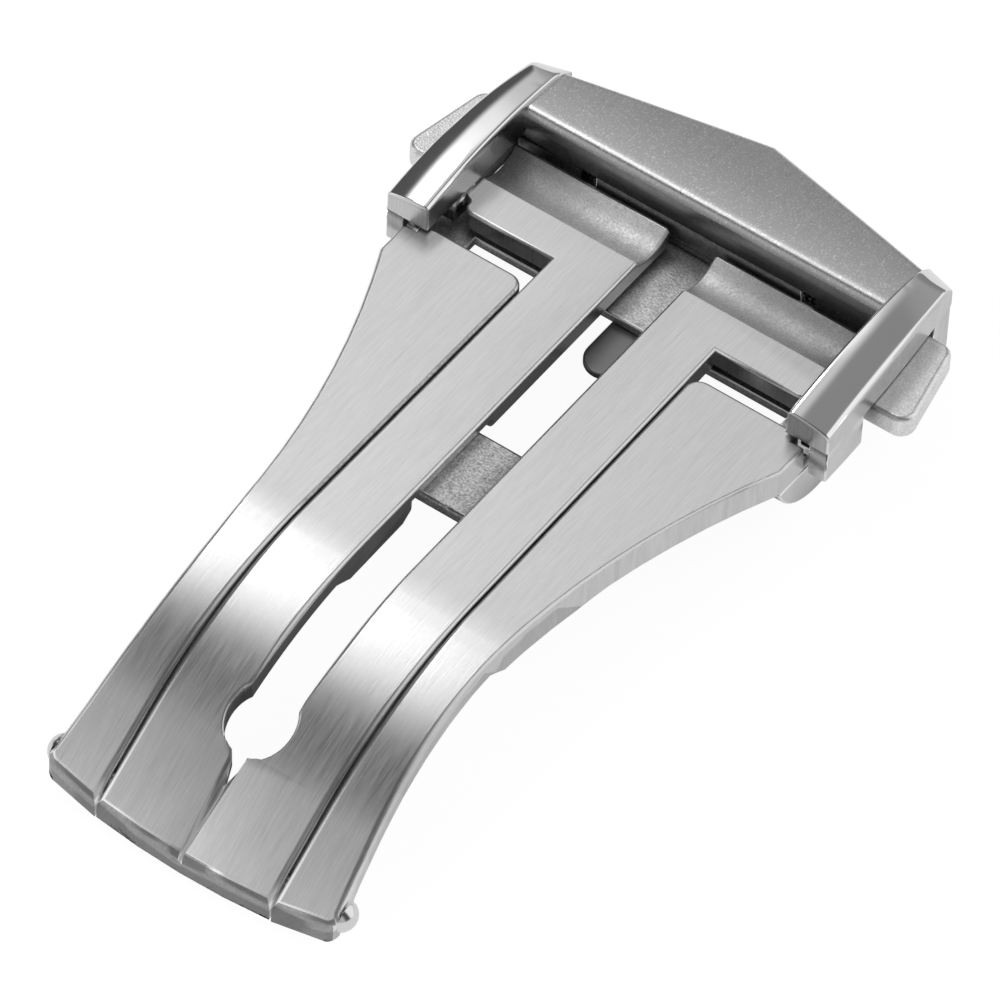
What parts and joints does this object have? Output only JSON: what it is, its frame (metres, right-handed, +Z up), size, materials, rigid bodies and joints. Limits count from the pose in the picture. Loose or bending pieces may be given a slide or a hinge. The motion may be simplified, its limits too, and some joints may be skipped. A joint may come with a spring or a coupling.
{
  "type": "deployant clasp",
  "caption": "Folding clasp for a watch strap: two hinged curved blades, a hooded buckle frame and a push button at each side.",
  "frame": {"origin": "middle of the bounding box's base, with the clasp closed and lying on a table as it comes to rest", "axes": "+Y along the clasp from the fold hinge to the buckle frame, +X across it to the wearer's right-hand button in the picture, +Z up"},
  "size_m": [0.0256, 0.042, 0.0054],
  "materials": {
    "wing_satin": "lengthwise brushed satin",
    "arm_satin": "lengthwise brushed satin",
    "plate_blasted": "fine blasted satin",
    "tongue_dark": "dark polished",
    "frame_polished": "mirror polished rails, satin head bar",
    "button_blasted": "fine blasted satin",
    "pin_bright": "polished",
    "inner_plain": "plain machined",
    "spring_wire": "drawn spring wire"
  },
  "bodies": {
    "outer_blade": {"outer_blade": "wing_satin", "catch_plate": "plate_blasted", "strap_tongue": "tongue_dark", "tongue_rivets": "pin_bright", "fold_pin": "pin_bright"},
    "inner_blade": {"inner_blade": "arm_satin", "buckle_frame": "frame_polished", "left_foot_pin": "pin_bright", "right_foot_pin": "pin_bright", "left_locating_pin": "tongue_dark", "right_locating_pin": "tongue_dark", "spring_rods": "pin_bright", "latch_cover": "inner_plain", "cover_screws": "pin_bright", "left_spring": "spring_wire", "right_spring": "spring_wire"},
    "left_button": {"left_button": "button_blasted", "left_latch": "inner_plain", "left_button_pin": "pin_bright"},
    "right_button": {"right_button": "button_blasted", "right_latch": "inner_plain", "right_button_pin": "pin_bright"}
  },
  "joints": [
    {"name": "blade_fold", "type": "hinge", "parent": "outer_blade", "child": "inner_blade", "pos_m": [0, -0.01939, 0.00099], "axis": [1, 0, 0], "range_deg": [0, 155]},
    {"name": "left_button_slide", "type": "slide", "parent": "inner_blade", "child": "left_button", "axis": [1, 0, 0], "range_m": [0, 0.00065], "stiffness_N_per_m": 500, "springref_m": -0.001, "deforming": ["left_spring"]},
    {"name": "right_button_slide", "type": "slide", "parent": "inner_blade", "child": "right_button", "axis": [-1, 0, 0], "range_m": [0, 0.00065], "stiffness_N_per_m": 500, "springref_m": -0.001, "deforming": ["right_spring"]}
  ]
}
